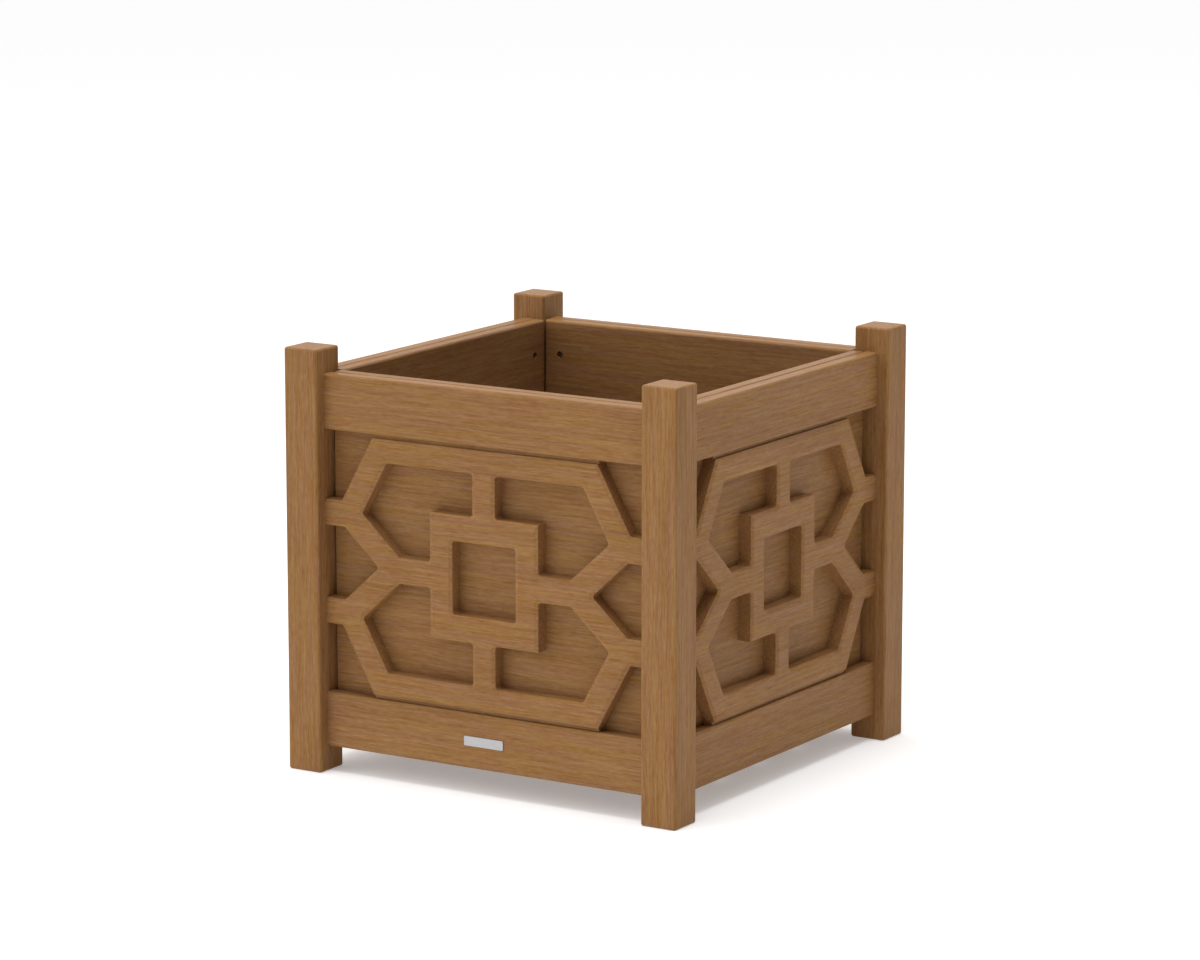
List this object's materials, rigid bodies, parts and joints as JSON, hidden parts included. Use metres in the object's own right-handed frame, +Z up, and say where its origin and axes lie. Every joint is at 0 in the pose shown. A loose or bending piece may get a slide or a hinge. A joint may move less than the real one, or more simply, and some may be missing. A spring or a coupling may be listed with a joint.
{
  "type": "square planter box",
  "caption": "Square garden planter box of brown plastic lumber with corner posts, railed walls with cut-out lattice panels and a slatted floor.",
  "frame": {"origin": "on the ground, at the middle of the planter", "axes": "+Z up, the front with the nameplate faces -Y, +X to the right seen from the front"},
  "size_m": [0.508, 0.508, 0.4805],
  "materials": {
    "lumber": "satin, streaked brown wood grain moulded in",
    "screw_steel": "plain stainless",
    "plate_metal": "fine satin, bare"
  },
  "bodies": {
    "root": {"post_front_right": "lumber", "post_back_right": "lumber", "post_back_left": "lumber", "post_front_left": "lumber", "top_rail_front": "lumber", "bottom_rail_front": "lumber", "wall_panel_front": "lumber", "fretwork_front": "lumber", "top_rail_right": "lumber", "bottom_rail_right": "lumber", "wall_panel_right": "lumber", "fretwork_right": "lumber", "top_rail_back": "lumber", "bottom_rail_back": "lumber", "wall_panel_back": "lumber", "fretwork_back": "lumber", "top_rail_left": "lumber", "bottom_rail_left": "lumber", "wall_panel_left": "lumber", "fretwork_left": "lumber", "floor_cleat_right": "lumber", "floor_cleat_left": "lumber", "floor_slat_1": "lumber", "floor_slat_2": "lumber", "floor_slat_3": "lumber", "floor_slat_4": "lumber", "floor_slat_5": "lumber", "rail_screws_front": "screw_steel", "panel_screws_front": "screw_steel", "fretwork_screws_front": "screw_steel", "rail_screws_right": "screw_steel", "panel_screws_right": "screw_steel", "fretwork_screws_right": "screw_steel", "rail_screws_back": "screw_steel", "panel_screws_back": "screw_steel", "fretwork_screws_back": "screw_steel", "rail_screws_left": "screw_steel", "panel_screws_left": "screw_steel", "fretwork_screws_left": "screw_steel", "cleat_screws_right": "screw_steel", "cleat_screws_left": "screw_steel", "floor_screws": "screw_steel", "nameplate": "plate_metal"}
  },
  "joints": []
}
